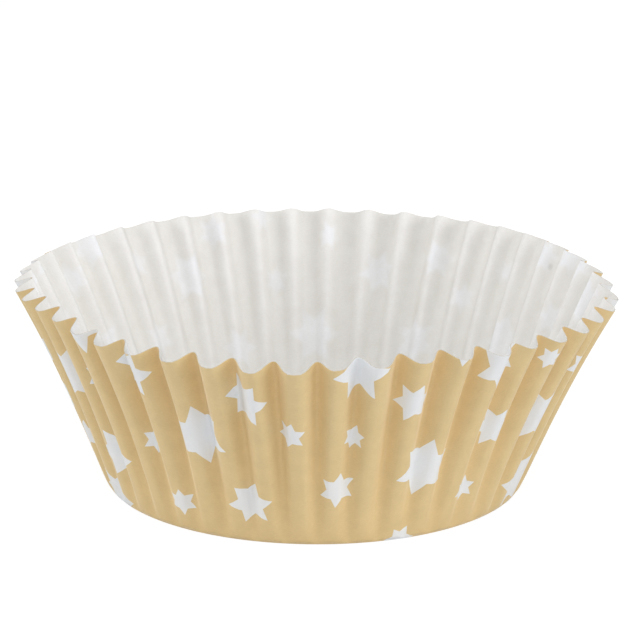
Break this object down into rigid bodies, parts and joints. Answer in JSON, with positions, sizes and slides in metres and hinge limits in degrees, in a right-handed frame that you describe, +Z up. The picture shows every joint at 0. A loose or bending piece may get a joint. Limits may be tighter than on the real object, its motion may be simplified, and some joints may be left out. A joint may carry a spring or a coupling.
{
  "type": "cupcake liner",
  "caption": "Round fluted paper cup for baking, with a flat base and a flared wall pressed into flutes, printed outside with plain stars.",
  "frame": {"origin": "centre of the underside of the flat base, on the surface that the liner stands on", "axes": "+Z up along the liner's axis, towards the open rim; the pictured side faces -Y"},
  "size_m": [0.0719, 0.0718, 0.0247],
  "materials": {
    "printed_paper": "matte"
  },
  "bodies": {
    "root": {"liner": "printed_paper"}
  },
  "joints": []
}
